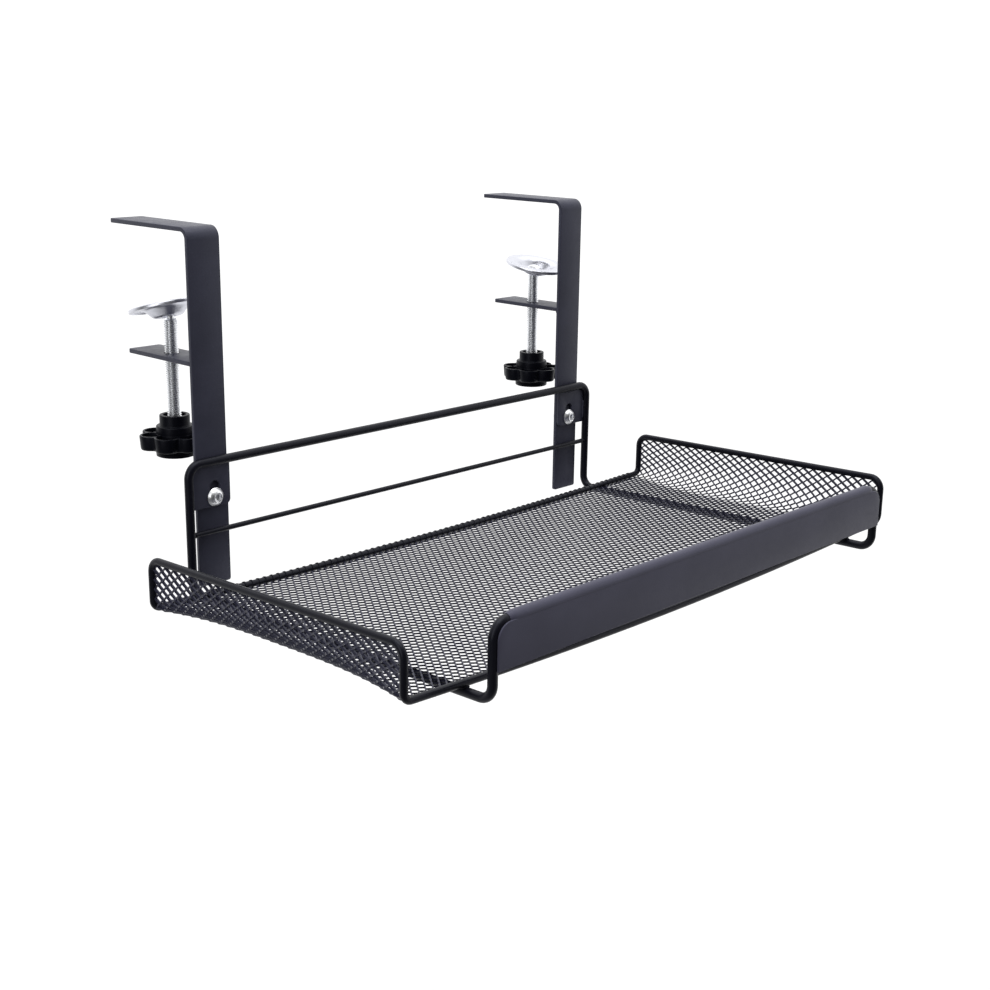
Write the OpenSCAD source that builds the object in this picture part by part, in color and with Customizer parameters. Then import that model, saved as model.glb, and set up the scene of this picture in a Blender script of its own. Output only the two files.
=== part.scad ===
// Under desk cable tray. Two screw clamps grip a desk's edge and carry a bent wire cradle,
// which holds a tray of expanded metal mesh behind a painted lip.
// Millimetres. X runs along the desk's edge, +Y in over the desk, +Z up.
// The origin is on the desk's top edge, midway between the clamps.

/* [Clamp brackets] */
// Distance of the clamps' centre lines inside the cradle's sides
clamp_inset = 17.5; // [16:0.5:50]
// Width of the flat bar
bar_w = 21; // [16:0.5:24]
// Thickness of the flat bar
bar_t = 2.5; // [2:0.1:3.5]
// Reach of the top arm over the desk, from the desk's edge
arm_reach = 70; // [55:1:90]
// Depth of the bar's lower end below the desk's top
bar_drop = 197; // [175:1:230]
// Inner radius of the bend between bar and arm
arm_bend_r = 4; // [2:0.5:8]
// Radius of the rounded corners at the ends of the flat bars
bar_corner_r = 1.5; // [0.5:0.5:5]

/* [Screw plates] */
// Depth of the screw plate's top face below the desk's top
plate_drop = 69.3; // [60:0.1:75]
// Reach of the screw plate behind the desk's edge
plate_reach = 58; // [45:1:70]
// Thickness of the screw plate
plate_t = 2.5; // [2:0.1:4]
// Size of the weld bead under the plate's root
weld_size = 2.4; // [1:0.1:4]

/* [Clamp screws] */
// Outer diameter of the M8 clamp screw
screw_d = 7.9; // [6:0.1:9]
// Distance of the screw's axis behind the desk's edge
screw_setback = 31; // [25:0.5:35]
// Depth of the pad's seat on the screw below the desk's top
seat_drop = 49.2; // [30:0.1:55]
// Length of the screw below the pad's seat
screw_len = 71.3; // [68:0.1:90]
// Diameter of the flat on top of the screw
screw_tip_d = 5.4; // [5:0.1:6]
// Angle of the chamfer round that flat
screw_tip_angle = 35; // [30:1:45]
// Drop of the screw's top face below the pad's seat
screw_tip_gap = 0.9; // [0.9:0.1:1.2]

/* [Pads] */
// Diameter of the pad
pad_d = 42; // [34:0.5:48]
// Height of the pad from its seat to its face
pad_h = 7.2; // [5:0.1:9]
// Thickness of the pad's pressed steel
pad_t = 1.2; // [0.8:0.1:1.4]
// Width of the flat rim that meets the desk
pad_rim_w = 7.5; // [4:0.5:9]
// Diameter of the flat seat under the pad
pad_seat_d = 16; // [15.5:0.5:19]
// Diameter of the loose hole in the seat
pad_hole_d = 8.6; // [8.2:0.1:9]
// Distance that a loose pad has slid to its low side
pad_slip = 1.5; // [0:0.1:1.6]
// Tilt of the left pad about X, where minus leans it to the rear
pad_tilt_left = -16.5; // [-17:0.5:17]
// Tilt of the right pad about X
pad_tilt_right = 11.5; // [-17:0.5:17]
// Diameter of the rivet's shank
rivet_d = 4; // [3:0.1:4.4]
// Length of the shank inside the screw
rivet_len = 8; // [5:0.5:14]
// Diameter of the rivet's head
rivet_head_d = 10.2; // [9.4:0.1:10.4]
// Height of the rivet's domed head
rivet_head_h = 2.2; // [1.5:0.1:3]
// Height of the head's underside above the pad's seat
rivet_lift = 3.3; // [3.3:0.1:4]

/* [Knobs] */
// Diameter over the lobes
knob_d = 41; // [36:0.5:46]
// Number of lobes
knob_lobes = 7; // [5:1:8]
// Radius of one lobe
lobe_r = 7; // [5.5:0.1:7.5]
// Radius of the hollow between two lobes
scoop_r = 1.5; // [1.5:0.1:4]
// Thickness of the lobes
lobe_h = 8.3; // [6:0.1:12]
// Wall left round the pocket in each lobe
lobe_wall = 1.5; // [1.4:0.1:2.5]
// Floor left under the pocket in each lobe
pocket_floor = 2; // [1:0.1:4]
// Diameter of the collar on top
collar_d = 17; // [15:0.1:19]
// Height of the collar
collar_h = 6; // [4:0.1:9]
// Inner diameter of the collar
collar_bore_d = 12.6; // [11:0.1:13]
// Diameter of the ring under the collar
ring_d = 21.3; // [20:0.1:22]
// Height of the ring
ring_h = 4.5; // [2:0.1:7]
// Diameter of the hub below the lobes
hub_d = 23.2; // [21:0.1:28]
// Taper of the hub, on its diameter
hub_taper = 1.6; // [0:0.1:3]
// Height of the hub
hub_h = 4.7; // [3:0.1:7]
// Length of screw that the knob holds
knob_grip = 10; // [6:0.5:14]
// Angle of one lobe about the screw, from +X
knob_turn = 163.5; // [0:0.5:360]

/* [Slot tabs and their screws] */
// Distance of the slot screw's axis below the top rail, when the tray is right up
screw_below_rail = 20.7; // [18:0.1:24]
// Travel that the slot allows the tray
slot_travel = 6; // [4:0.5:8]
// Width of the slot
slot_w = 6.5; // [6.3:0.1:7]
// Thickness of the tab
tab_t = 2; // [1.5:0.1:3]
// Steel left in the tab below its slot
tab_edge = 2.25; // [1.5:0.05:6]
// Radius of the tab's free lower corner
tab_corner_r = 3; // [1:0.5:5]
// Outer diameter of the M6 slot screw
m6_d = 5.9; // [5:0.1:6]
// Diameter of its button head
m6_head_d = 10.5; // [9:0.1:12]
// Height of its button head
m6_head_h = 3.3; // [3:0.1:4]
// Width across the flats of its hexagon socket
m6_socket = 4; // [3:0.1:5]
// Depth of the socket
m6_socket_depth = 1.9; // [1:0.1:2.4]
// Width across the flats of the nut
nut_w = 10; // [8:0.1:11]
// Thickness of the nut
nut_t = 5; // [3:0.1:6]
// Length of screw left past the nut
screw_end = 1.5; // [0.5:0.1:4]

/* [Cradle] */
// Diameter of the cradle's wire
wire_d = 5; // [4:0.1:6]
// Distance of the cradle's sides inside the tray's end walls
cradle_inset = 38.5; // [26:0.5:60]
// Depth of the top rail's centre line below the desk's top
rail_drop = 125; // [115:0.5:128]
// Distance of the middle wire's centre line below the tabs
mid_below_tab = 13.8; // [5:0.1:20]
// Diameter of the middle wire
mid_d = 3; // [2:0.1:4]
// Distance of the floor runs below the middle wire, at the rear uprights
run_below_mid = 33.5; // [26:0.5:60]
// Angle at which the floor runs rise to the front
run_rise = 1.42; // [0:0.02:4]
// Gap between the centre lines of the front legs and of the tray's front wire
leg_gap = 17.65; // [8:0.05:40]
// Height of the lip wire over the floor runs, at the front legs
lip_h = 37.81; // [30:0.01:60]
// Centre line radius of the bends in the top rail
rail_bend_r = 8; // [6:0.5:12]
// Centre line radius of the bends at the floor
run_bend_r = 8; // [6:0.5:12]
// Centre line radius of the bends into the lip wire
lip_bend_r = 8.5; // [6:0.5:12]

/* [Lip panel] */
// Height of the panel below the lip wire's centre line
panel_h = 23; // [15:0.5:30]
// Thickness of the panel's sheet
panel_t = 1; // [0.8:0.1:1.5]

/* [Tray] */
// Distance between the centre lines of the end walls
tray_w = 412; // [360:1:480]
// Distance between the front and rear rim wires
tray_depth = 193; // [150:1:200]
// Distance of the rear rim wire from the desk's edge
tray_gap = 24; // [18:1:30]
// Height of the end walls between rim centre lines
wall_h = 27.3; // [22:0.1:36]
// Diameter of the rim wire
rim_d = 4; // [3:0.1:5]
// Centre line radius of the rim's upper corners
rim_top_r = 7; // [4:0.5:9]
// Centre line radius of the rim's lower corners
rim_foot_r = 4.5; // [4:0.5:8]
// Sag of the rear floor wire at mid length
sag_rear = 3; // [1:0.5:6]
// Sag of the front floor wire at mid length
sag_front = 5; // [1:0.5:8]

/* [Mesh] */
// Thickness of the mesh
mesh_t = 1.2; // [0.8:0.1:1.6]
// Width of a mesh strand
strand_w = 2; // [1.2:0.1:3]
// Half pitches of the mesh across both walls and the floor, an even count
mesh_cols = 44; // [24:2:44]
// Half pitches of the mesh from front to rear, an even count
mesh_rows = 12; // [8:2:12]
// Radius that the mesh takes between floor and wall at mid depth
mesh_bend_r = 19; // [8:0.5:20]

/* [Hidden] */
$fn = 64;

// Clearances
run_clear = 0.05; // radial, of a shaft that turns or slides in its hole
seat_clear = 0.02; // between pieces that are welded or pressed together
slide_clear = 0.1; // between flat faces that slide on each other
bolt_clear = 0.3; // radial, of a bolt in its plain hole

// Joints of a bent wire: each straight runs into its bends by the lap, a little thinner
wire_lap = 0.2;
wire_step = 0.06;

// Colours
bar_black = [0.13, 0.14, 0.16];
wire_black = [0.16, 0.16, 0.18];
lip_grey = [0.27, 0.27, 0.3];
zinc = [0.8, 0.81, 0.83];
knob_black = [0.05, 0.05, 0.06];

// Planes of the slot joint, from the bar's front face on
tab_rear_y = -bar_t - slide_clear;
tab_front_y = tab_rear_y - tab_t;
head_y = tab_front_y - slide_clear;

// Places along X, from the tray's end walls in to the clamps
rim_x = tray_w / 2;
cradle_x = rim_x - cradle_inset;
clamp_x = cradle_x - clamp_inset;
tab_inner_x = clamp_x - bar_w / 2;

// Drops below the desk's top, from the rail down
slot_screw_drop = rail_drop + screw_below_rail;
tab_drop = slot_screw_drop + slot_w / 2 + tab_edge;
mid_drop = tab_drop + mid_below_tab;
run_drop = mid_drop + run_below_mid;

// Cradle
wire_r = wire_d / 2;
rear_y = -tray_gap;
front_y = rear_y - tray_depth;
upright_y = tab_rear_y - wire_r - run_clear;
leg_y = front_y - leg_gap;
// Height of the floor runs' centre line at y
function run_z(y) = -run_drop + (upright_y - y) * tan(run_rise);

// Tray rim. Each floor wire hangs in an arc over this share of its length
arc_share = 0.92;
rim_r = rim_d / 2;
// Slope of a floor wire of sag s at its ends, and the radius of its arc
function hang_angle(s) = atan(s / (rim_x * (1 - arc_share / 2)));
function hang_r(s) = arc_share * rim_x / sin(hang_angle(s));
// Drop of a floor wire of sag s at x, below its ends
function hang(x, s) =
    let (q = hang_angle(s), r = hang_r(s))
    abs(x) > arc_share * rim_x
        ? (rim_x - abs(x)) * tan(q)
        : rim_x * tan(q) - r / cos(q) + sqrt(r * r - x * x);
// Sag of the floor at y
function sag(y) = sag_rear + (sag_front - sag_rear) * (rear_y - y) / tray_depth;
// Height of the rim's lower corners at y, where the floor rests on the runs
function rim_z(y) = run_z(y) + wire_r + rim_r + run_clear + hang(cradle_x, sag(y));

// Mesh sheet
edge_gap = rim_r + seat_clear;
floor_lift = mesh_t / 2 + slide_clear - rim_r;
wall_rise = wall_h - edge_gap - floor_lift;

// Unit vector along v
function unit(v) = v / norm(v);
// Angle by which a path turns at its middle point
function turn(a, b, c) = acos(unit(b - a) * unit(c - b));
// Length that a bend of radius r takes off each side of the corner b
function tangent(a, b, c, r) = r * tan(turn(a, b, c) / 2);

// Straight rod between two points
module rod(p, q, d) {
    v = q - p;
    translate(p)
        rotate([0, acos(v.z / norm(v)), atan2(v.y, v.x)])
            cylinder(h = norm(v), d = d);
}

// Straight part of a bent wire, between the ends of two bends
module straight(p, q, d) {
    lap = wire_lap * unit(q - p);
    rod(p - lap, q + lap, d - wire_step);
}

// Bend of centre line radius r at the corner b of the path a, b, c
module elbow(a, b, c, r, d) {
    u = unit(b - a);
    v = unit(c - b);
    n = unit(v - u * (u * v));
    w = cross(u, n);
    m = b - u * tangent(a, b, c, r) + n * r;
    steps = max(64, ceil(24 * 360 / turn(a, b, c)));
    multmatrix([
        [-n.x, u.x, w.x, m.x],
        [-n.y, u.y, w.y, m.y],
        [-n.z, u.z, w.z, m.z],
        [0, 0, 0, 1]
    ])
        rotate_extrude(angle = turn(a, b, c), $fn = steps)
            translate([r, 0])
                circle(d = d, $fn = 64);
}

// Closed wire through corner points, each with its own bend radius
module closed_wire(points, radii, d) {
    n = len(points);
    for (i = [0 : n - 1]) {
        a = points[(i + n - 1) % n];
        b = points[i];
        c = points[(i + 1) % n];
        e = points[(i + 2) % n];
        elbow(a, b, c, radii[i], d);
        start = b + unit(c - b) * tangent(a, b, c, radii[i]);
        end = c - unit(c - b) * tangent(b, c, e, radii[(i + 1) % n]);
        straight(start, end, d);
    }
}

// Flat bar along +X with its two far corners rounded
module strip(length, w, t) {
    r = bar_corner_r;
    linear_extrude(t) {
        square([length - r, w]);
        translate([length - r, r])
            square([r, w - 2 * r]);
        for (y = [r, w - r])
            translate([length - r, y])
                circle(r);
    }
}

// Bent flat bar: an upright in front of the desk's edge and an arm on the desk's top
module bracket(side) {
    translate([side * clamp_x, 0, 0])
        difference() {
            union() {
                translate([-bar_w / 2, 0, -arm_bend_r])
                    rotate([90, 90, 0])
                        strip(bar_drop - arm_bend_r, bar_w, bar_t);
                translate([bar_w / 2, arm_bend_r, 0])
                    rotate([0, 0, 90])
                        strip(arm_reach - arm_bend_r, bar_w, bar_t);
                translate([-bar_w / 2, arm_bend_r, -arm_bend_r])
                    rotate([90, 0, 90])
                        rotate([0, 0, 90])
                            rotate_extrude(angle = 90)
                                translate([arm_bend_r, 0])
                                    square([bar_t, bar_w]);
            }
            translate([0, 0, -slot_screw_drop])
                rotate([-90, 0, 0])
                    cylinder(h = 4 * bar_t, d = m6_d + 2 * bolt_clear, center = true);
        }
}

// Short flat bar welded behind the upright, with the hole of the clamp screw
module screw_plate(side) {
    translate([side * clamp_x, 0, -plate_drop])
        difference() {
            union() {
                translate([bar_w / 2, 0, -plate_t])
                    rotate([0, 0, 90])
                        strip(plate_reach, bar_w, plate_t);
                translate([-(bar_w - weld_size) / 2, 0, -plate_t])
                    rotate([90, 0, 90])
                        linear_extrude(bar_w - weld_size)
                            polygon([[0, 0], [0, -weld_size], [weld_size, 0]]);
            }
            translate([0, screw_setback, -2 * plate_t])
                cylinder(h = 3 * plate_t, d = screw_d + 2 * run_clear);
        }
}

// Moves a piece made at the pad's seat to its clamp
module at_seat(side) {
    translate([side * clamp_x, screw_setback, -seat_drop])
        children();
}

// Clamp screw, chamfered on top and bored for the rivet
module clamp_screw(side) {
    r = screw_d / 2;
    tip_r = screw_tip_d / 2;
    bore_r = rivet_d / 2 + run_clear;
    shoulder = screw_tip_gap + (r - tip_r) * tan(screw_tip_angle);
    at_seat(side)
        rotate_extrude()
            polygon([
                [0, -screw_len], [r, -screw_len], [r, -shoulder],
                [tip_r, -screw_tip_gap], [bore_r, -screw_tip_gap],
                [bore_r, -rivet_len - run_clear], [0, -rivet_len - run_clear]
            ]);
}

// Radius of the dome that is d wide and h high
function dome_r(d, h) = (d * d / 4 + h * h) / (2 * h);

// Dome on the XY plane
module dome(d, h) {
    intersection() {
        cylinder(h = h, d = d);
        translate([0, 0, h - dome_r(d, h)])
            sphere(dome_r(d, h));
    }
}

// Swivel rivet that holds the pad on top of the screw
module pad_rivet(side) {
    at_seat(side) {
        translate([0, 0, -rivet_len])
            cylinder(h = rivet_len + rivet_lift, d = rivet_d);
        translate([0, 0, rivet_lift])
            dome(rivet_head_d, rivet_head_h);
    }
}

// Pressed steel pad: a flat rim, a cone and a seat with a loose hole
module pad(side) {
    tilt = side < 0 ? pad_tilt_left : pad_tilt_right;
    slip = tilt < 0 ? pad_slip : -pad_slip;
    rim_in = pad_d / 2 - pad_rim_w;
    seat_r = pad_seat_d / 2;
    mitre = pad_t * tan(atan2(pad_h - pad_t, rim_in - seat_r) / 2);
    at_seat(side)
        rotate([tilt, 0, 0])
            translate([0, slip, 0])
                rotate_extrude()
                    polygon([
                        [pad_hole_d / 2, 0], [seat_r, 0],
                        [rim_in, pad_h - pad_t], [pad_d / 2, pad_h - pad_t],
                        [pad_d / 2, pad_h], [rim_in - mitre, pad_h],
                        [seat_r - mitre, pad_t], [pad_hole_d / 2, pad_t]
                    ]);
}

// Outline of the knob's lobes, with a round hollow between each two
module lobe_outline() {
    half_step = 180 / knob_lobes;
    lobe_at = knob_d / 2 - lobe_r;
    reach = lobe_r + scoop_r;
    // the hollow's centre, where it is tangent to both lobes
    scoop_at = lobe_at * cos(half_step) + sqrt(reach * reach - pow(lobe_at * sin(half_step), 2));
    lobe = [lobe_at, 0];
    scoop = scoop_at * [cos(half_step), sin(half_step)];
    difference() {
        circle(norm(lobe + (scoop - lobe) * lobe_r / reach));
        for (i = [0 : knob_lobes - 1])
            rotate((2 * i + 1) * half_step)
                translate([scoop_at, 0])
                    circle(scoop_r);
    }
    for (i = [0 : knob_lobes - 1])
        rotate(2 * i * half_step)
            translate(lobe)
                circle(lobe_r);
}

// Outline of the pockets, which stop at the ring
module pocket_outline() {
    difference() {
        for (i = [0 : knob_lobes - 1])
            rotate(i * 360 / knob_lobes)
                translate([knob_d / 2 - lobe_r, 0])
                    circle(lobe_r - lobe_wall);
        circle(d = ring_d);
    }
}

// Moulded star knob with a pocket in each lobe, a collar above and a hub below
module knob(side) {
    lobe_top = hub_h + lobe_h;
    ring_top = lobe_top + ring_h;
    at_seat(side)
        translate([0, 0, -screw_len + knob_grip - ring_top])
            rotate(knob_turn)
                difference() {
                    union() {
                        cylinder(h = hub_h, d1 = hub_d - hub_taper, d2 = hub_d);
                        translate([0, 0, hub_h])
                            linear_extrude(lobe_h)
                                lobe_outline();
                        cylinder(h = ring_top, d = ring_d);
                        cylinder(h = ring_top + collar_h, d = collar_d);
                    }
                    translate([0, 0, hub_h + pocket_floor])
                        linear_extrude(lobe_h)
                            pocket_outline();
                    translate([0, 0, ring_top])
                        cylinder(h = 2 * collar_h, d = collar_bore_d);
                    translate([0, 0, ring_top - knob_grip])
                        cylinder(h = 2 * knob_grip, d = screw_d + 2 * seat_clear);
                }
}

// Button head screw through the tab's slot and the bar
module slot_screw(side) {
    translate([side * clamp_x, head_y, -slot_screw_drop])
        rotate([90, 0, 0])
            difference() {
                union() {
                    dome(m6_head_d, m6_head_h);
                    translate([0, 0, head_y - nut_t - screw_end])
                        cylinder(h = nut_t + screw_end - head_y, d = m6_d);
                }
                translate([0, 0, m6_head_h - m6_socket_depth])
                    cylinder(h = 2 * m6_socket_depth, d = m6_socket / cos(30), $fn = 6);
            }
}

// Hexagon nut behind the bar
module slot_nut(side) {
    translate([side * clamp_x, 0, -slot_screw_drop])
        rotate([-90, 0, 0])
            difference() {
                cylinder(h = nut_t, d = nut_w / cos(30), $fn = 6);
                translate([0, 0, -nut_t])
                    cylinder(h = 3 * nut_t, d = m6_d + 2 * seat_clear);
            }
}

// The tab's outline from its free lower corner
module tab_outline() {
    w = cradle_x - tab_inner_x;
    h = tab_drop - rail_drop;
    difference() {
        union() {
            translate([tab_corner_r, 0])
                square([w - tab_corner_r, h - rail_bend_r]);
            translate([0, tab_corner_r])
                square([w - rail_bend_r, h - tab_corner_r]);
            translate([tab_corner_r, tab_corner_r])
                circle(tab_corner_r);
            translate([w - rail_bend_r, h - rail_bend_r])
                circle(rail_bend_r);
        }
        translate([bar_w / 2, tab_drop - slot_screw_drop]) {
            translate([-slot_w / 2, 0])
                square([slot_w, slot_travel]);
            for (z = [0, slot_travel])
                translate([0, z])
                    circle(d = slot_w);
        }
    }
}

// The cradle's right upper corner, from before the tab to below it
module tab_wire(d) {
    a = [tab_inner_x - wire_d, upright_y, -rail_drop];
    b = [cradle_x, upright_y, -rail_drop];
    c = [cradle_x, upright_y, -tab_drop - wire_d];
    straight(a, b - [rail_bend_r, 0, 0], d);
    elbow(a, b, c, rail_bend_r, d);
    straight(b - [0, 0, rail_bend_r], c, d);
}

// Slotted tab in the cradle's upper corner, hollowed where it meets the wire
module slot_tab(side) {
    mirror([side < 0 ? 1 : 0, 0, 0])
        difference() {
            translate([tab_inner_x, tab_rear_y, -tab_drop])
                rotate([90, 0, 0])
                    linear_extrude(tab_t)
                        tab_outline();
            tab_wire(wire_d + 2 * seat_clear);
        }
}

// The cradle's closed path: rail, uprights, floor runs, legs and lip wire
module cradle_path() {
    x = cradle_x;
    foot_rear = run_z(upright_y);
    foot_front = run_z(leg_y);
    closed_wire([
        [-x, upright_y, -rail_drop], [x, upright_y, -rail_drop],
        [x, upright_y, foot_rear], [x, leg_y, foot_front],
        [x, leg_y, foot_front + lip_h], [-x, leg_y, foot_front + lip_h],
        [-x, leg_y, foot_front], [-x, upright_y, foot_rear]
    ], [
        rail_bend_r, rail_bend_r, run_bend_r, run_bend_r,
        lip_bend_r, lip_bend_r, run_bend_r, run_bend_r
    ], wire_d);
}

// Thin wire across the back of the cradle, hollowed where it meets the uprights
module cross_wire() {
    difference() {
        rod([-cradle_x, upright_y, -mid_drop], [cradle_x, upright_y, -mid_drop], mid_d);
        for (x = [-cradle_x, cradle_x])
            translate([x, upright_y, -mid_drop - wire_d])
                cylinder(h = 2 * wire_d, d = wire_d + 2 * seat_clear);
    }
}

// The tray's closed rim: two end walls joined by a hanging wire at front and rear
module rim_path() {
    x = rim_x;
    rear = rim_z(rear_y);
    front = rim_z(front_y);
    closed_wire([
        [-x, rear_y, rear], [-x, rear_y, rear + wall_h],
        [-x, front_y, front + wall_h], [-x, front_y, front],
        [0, front_y, front - x * tan(hang_angle(sag_front))],
        [x, front_y, front], [x, front_y, front + wall_h],
        [x, rear_y, rear + wall_h], [x, rear_y, rear],
        [0, rear_y, rear - x * tan(hang_angle(sag_rear))]
    ], [
        rim_foot_r, rim_top_r, rim_top_r, rim_foot_r, hang_r(sag_front),
        rim_foot_r, rim_top_r, rim_top_r, rim_foot_r, hang_r(sag_rear)
    ], rim_d);
}

// Radius between floor and wall at the share t of the tray's depth
function sheet_r(t) =
    rim_foot_r + (mesh_bend_r - rim_foot_r) * (1 - pow(abs(2 * t - 1), 3));

// Point of the sheet: s runs from the left wall's top to the right wall's, t from front to
// rear, and off lifts the point off the sheet's middle surface
function sheet_point(s, t, off) =
    let (
        r = sheet_r(t),
        panel_half = rim_x - r,
        arc = PI * r / 2,
        d = abs(2 * s - 1) * (panel_half + arc + wall_rise - r),
        dir = s < 0.5 ? -1 : 1,
        phi = 90 * max(0, min(1, (d - panel_half) / arc)),
        x = min(d, panel_half) + (r - off) * sin(phi),
        z = r - (r - off) * cos(phi) + max(0, d - panel_half - arc),
        y = front_y + edge_gap + t * (tray_depth - 2 * edge_gap)
    )
    [dir * x, y, rim_z(y) + floor_lift + z - hang(min(x, rim_x), sag(y))];

// Expanded mesh: diamond gaps on every second point of a grid of half pitches
module mesh_sheet() {
    cols = mesh_cols;
    rows = mesh_rows;
    a = (2 * (rim_x + wall_rise) - (4 - PI) * sheet_r(0.5)) / cols;
    b = (tray_depth - 2 * edge_gap) / rows;
    // share of a half pitch that a strand takes at a gap's tip
    f = strand_w / 2 * norm([a, b]) / (a * b);
    // the gap's tips: right, rear, left and front
    tips = [[1 - f, 0], [0, 1 - f], [f - 1, 0], [0, f - 1]];
    points = [
        for (g = [0 : 2 : (cols + 1) * (rows + 1) - 1])
            let (i = floor(g / (rows + 1)), j = g % (rows + 1))
                for (off = [mesh_t / 2, -mesh_t / 2])
                    for (tip = tips)
                        sheet_point(
                            max(0, min(cols, i + tip.x)) / cols,
                            max(0, min(rows, j + tip.y)) / rows,
                            off
                        )
    ];
    faces = [
        for (i = [0 : cols])
            for (j = [0 : rows])
                each (i + j) % 2 == 0
                    ? concat(gap_walls(i, j, cols, rows), strands(i, j, cols, rows))
                    : knot(i, j, cols, rows)
    ];
    polyhedron(points = points, faces = faces, convexity = 10);
}

// A gap's tip k, 0 to 3, as its point on the upper layer and on the lower one
function tip_pair(i, j, rows, k) =
    let (first = 4 * (i * (rows + 1) + j) + k)
    [first, first + 4];

// A polygon on the upper layer and its copy, turned over, on the lower one
function both_layers(p) = [
    for (n = [1 : len(p) - 2])
        each [[p[0][0], p[n][0], p[n + 1][0]], [p[0][1], p[n + 1][1], p[n][1]]]
];

// Upright wall from one pair of points to another
function wall(p, q) = [[p[0], q[0], q[1]], [p[0], q[1], p[1]]];

// Walls inside a gap, which stays open where it meets the sheet's edge
function gap_walls(i, j, cols, rows) =
    let (p = [for (k = [0 : 3]) tip_pair(i, j, rows, k)])
    concat(
        i < cols && j < rows ? wall(p[1], p[0]) : [],
        i > 0 && j < rows ? wall(p[2], p[1]) : [],
        i > 0 && j > 0 ? wall(p[3], p[2]) : [],
        i < cols && j > 0 ? wall(p[0], p[3]) : []
    );

// The two strands on a gap's right side
function strands(i, j, cols, rows) = concat(
    i < cols && j < rows ? both_layers([
        tip_pair(i, j, rows, 0), tip_pair(i, j, rows, 1),
        tip_pair(i + 1, j + 1, rows, 2), tip_pair(i + 1, j + 1, rows, 3)
    ]) : [],
    i < cols && j > 0 ? both_layers([
        tip_pair(i, j, rows, 3), tip_pair(i, j, rows, 0),
        tip_pair(i + 1, j - 1, rows, 1), tip_pair(i + 1, j - 1, rows, 2)
    ]) : []
);

// Crossing of the strands between up to four gaps, closed where it meets the edge
function knot(i, j, cols, rows) =
    let (
        p = concat(
            i > 0 ? [tip_pair(i - 1, j, rows, 0)] : [],
            j < rows ? [tip_pair(i, j + 1, rows, 3)] : [],
            i < cols ? [tip_pair(i + 1, j, rows, 2)] : [],
            j > 0 ? [tip_pair(i, j - 1, rows, 1)] : []
        ),
        n = len(p),
        open_at = i == 0 ? n - 1 : j == rows ? 0 : i == cols ? 1 : 2
    )
    concat(
        both_layers(p),
        n < 4 ? wall(p[(open_at + 1) % n], p[open_at]) : []
    );

// Lip panel: a flat sheet in front of the legs, rolled over the lip wire
module lip_sheet() {
    hook_r = wire_r + run_clear;
    hook_half = cradle_x - lip_bend_r;
    translate([0, leg_y, run_z(leg_y) + lip_h]) {
        translate([-hook_half, 0, 0])
            rotate([90, 0, 90])
                rotate_extrude(angle = 180)
                    translate([hook_r, 0])
                        square([panel_t, 2 * hook_half]);
        translate([0, -hook_r, 0])
            rotate([90, 0, 0])
                linear_extrude(panel_t) {
                    translate([-hook_half, -panel_h])
                        square([2 * hook_half, panel_h]);
                    translate([-cradle_x, -panel_h])
                        square([2 * cradle_x, panel_h - lip_bend_r]);
                    for (x = [-hook_half, hook_half])
                        translate([x, -lip_bend_r])
                            circle(lip_bend_r);
                }
    }
}

module left_bracket() { color(bar_black) bracket(-1); }
module right_bracket() { color(bar_black) bracket(1); }
module left_screw_plate() { color(bar_black) screw_plate(-1); }
module right_screw_plate() { color(bar_black) screw_plate(1); }
module left_slot_screw() { color(zinc) slot_screw(-1); }
module right_slot_screw() { color(zinc) slot_screw(1); }
module left_slot_nut() { color(zinc) slot_nut(-1); }
module right_slot_nut() { color(zinc) slot_nut(1); }
module left_pad_rivet() { color(zinc) pad_rivet(-1); }
module right_pad_rivet() { color(zinc) pad_rivet(1); }
module left_clamp_screw() { color(zinc) clamp_screw(-1); }
module right_clamp_screw() { color(zinc) clamp_screw(1); }
module left_knob() { color(knob_black) knob(-1); }
module right_knob() { color(knob_black) knob(1); }
module left_pad() { color(zinc) pad(-1); }
module right_pad() { color(zinc) pad(1); }
module cradle_wire() { color(wire_black) cradle_path(); }
module middle_wire() { color(wire_black) cross_wire(); }
module left_slot_tab() { color(bar_black) slot_tab(-1); }
module right_slot_tab() { color(bar_black) slot_tab(1); }
module tray_rim() { color(wire_black) rim_path(); }
module tray_mesh() { color(wire_black) mesh_sheet(); }
module lip_panel() { color(lip_grey) lip_sheet(); }

left_bracket();
right_bracket();
left_screw_plate();
right_screw_plate();
left_slot_screw();
right_slot_screw();
left_slot_nut();
right_slot_nut();
left_pad_rivet();
right_pad_rivet();
left_clamp_screw();
right_clamp_screw();
left_knob();
right_knob();
left_pad();
right_pad();
cradle_wire();
middle_wire();
left_slot_tab();
right_slot_tab();
tray_rim();
tray_mesh();
lip_panel();
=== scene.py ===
"""Under desk cable tray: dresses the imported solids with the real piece's forms and finishes."""

import math

import bmesh
import bpy
from mathutils import Matrix, Vector, noise


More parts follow.
